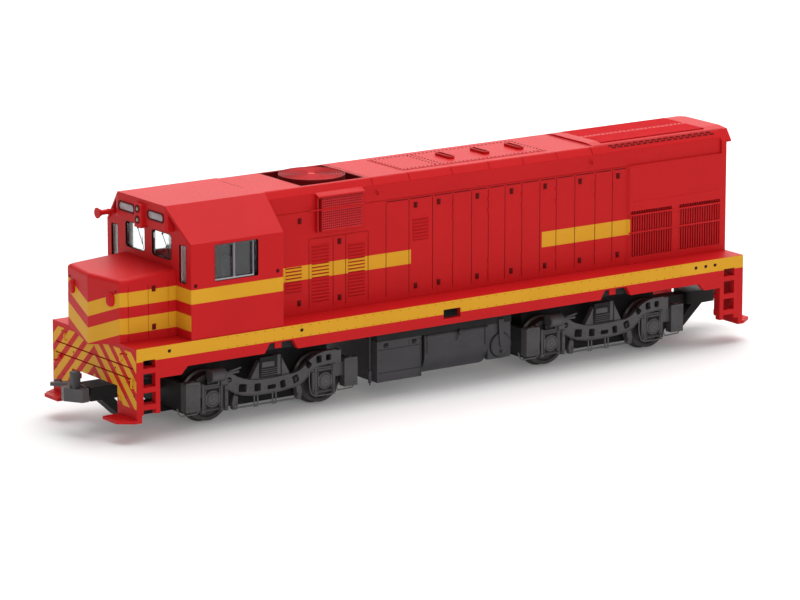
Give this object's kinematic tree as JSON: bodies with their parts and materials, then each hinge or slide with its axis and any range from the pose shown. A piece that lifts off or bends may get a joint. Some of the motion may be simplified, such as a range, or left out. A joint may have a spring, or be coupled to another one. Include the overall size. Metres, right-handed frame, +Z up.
{
  "type": "model diesel locomotive",
  "caption": "Scale model of a road-switcher diesel locomotive with a low nose, cab, long hood, swivelling bogies, rolling wheelsets and swinging couplers.",
  "frame": {"origin": "middle of the locomotive in plan, at the lowest point of the wheel flanges", "axes": "+X towards the rear along the rails, +Z up, +Y to the right-hand side as seen by the driver facing forward"},
  "size_m": [0.1746, 0.033, 0.0477],
  "materials": {
    "red_plastic": "semi-matt red paint",
    "black_plastic": "matt black",
    "grey_plastic": "matt dark grey",
    "silver_plastic": "satin silver",
    "glass": "clear",
    "lens": "clear lens",
    "weight_metal": "cast",
    "wheel_metal": "blackened with bright tread"
  },
  "bodies": {
    "locomotive": {"underframe": "red_plastic", "front_pilot": "red_plastic", "rear_pilot": "red_plastic", "front_steps": "red_plastic", "rear_steps": "red_plastic", "short_hood": "red_plastic", "cab": "red_plastic", "visor": "red_plastic", "number_boards": "black_plastic", "headlights": "lens", "cab_glass": "glass", "side_window_frames": "silver_plastic", "side_glass": "glass", "nose_lamps": "red_plastic", "horn": "red_plastic", "long_hood": "red_plastic", "fan_well": "red_plastic", "roof_fan": "red_plastic", "side_grilles": "red_plastic", "roof_hatch": "red_plastic", "roof_vents": "red_plastic", "rear_hood": "red_plastic", "rear_grilles": "red_plastic", "rear_roof": "red_plastic", "chassis_weight": "weight_metal", "tank_saddle": "black_plastic", "battery_box": "black_plastic", "fuel_tank": "black_plastic", "air_reservoir": "black_plastic", "reservoir_brackets": "black_plastic", "bogie_mounts": "black_plastic"},
    "front_bogie": {"front_bogie_left_side": "grey_plastic", "front_bogie_right_side": "grey_plastic", "front_bogie_block": "black_plastic"},
    "front_outer_wheelset": {"front_outer_wheelset": "wheel_metal"},
    "front_inner_wheelset": {"front_inner_wheelset": "wheel_metal"},
    "front_coupler": {"front_coupler": "black_plastic"},
    "rear_bogie": {"rear_bogie_left_side": "grey_plastic", "rear_bogie_right_side": "grey_plastic", "rear_bogie_block": "black_plastic"},
    "rear_outer_wheelset": {"rear_outer_wheelset": "wheel_metal"},
    "rear_inner_wheelset": {"rear_inner_wheelset": "wheel_metal"},
    "rear_coupler": {"rear_coupler": "black_plastic"}
  },
  "joints": [
    {"name": "front_bogie_swivel", "type": "hinge", "parent": "locomotive", "child": "front_bogie", "pos_m": [-0.0435, 0, 0.0142], "axis": [0, 0, 1], "range_deg": [-8, 8]},
    {"name": "front_outer_axle", "type": "hinge", "parent": "front_bogie", "child": "front_outer_wheelset", "pos_m": [-0.0575, 0, 0.0056], "axis": [0, 1, 0], "continuous": true},
    {"name": "front_inner_axle", "type": "hinge", "parent": "front_bogie", "child": "front_inner_wheelset", "pos_m": [-0.0295, 0, 0.0056], "axis": [0, 1, 0], "continuous": true},
    {"name": "front_coupler_swing", "type": "hinge", "parent": "front_bogie", "child": "front_coupler", "pos_m": [-0.077, 0, 0.008], "axis": [0, 0, 1], "range_deg": [-8, 8]},
    {"name": "rear_bogie_swivel", "type": "hinge", "parent": "locomotive", "child": "rear_bogie", "pos_m": [0.0435, 0, 0.0142], "axis": [0, 0, 1], "range_deg": [-8, 8]},
    {"name": "rear_outer_axle", "type": "hinge", "parent": "rear_bogie", "child": "rear_outer_wheelset", "pos_m": [0.0575, 0, 0.0056], "axis": [0, 1, 0], "continuous": true},
    {"name": "rear_inner_axle", "type": "hinge", "parent": "rear_bogie", "child": "rear_inner_wheelset", "pos_m": [0.0295, 0, 0.0056], "axis": [0, 1, 0], "continuous": true},
    {"name": "rear_coupler_swing", "type": "hinge", "parent": "rear_bogie", "child": "rear_coupler", "pos_m": [0.077, 0, 0.008], "axis": [0, 0, 1], "range_deg": [-8, 8]}
  ]
}
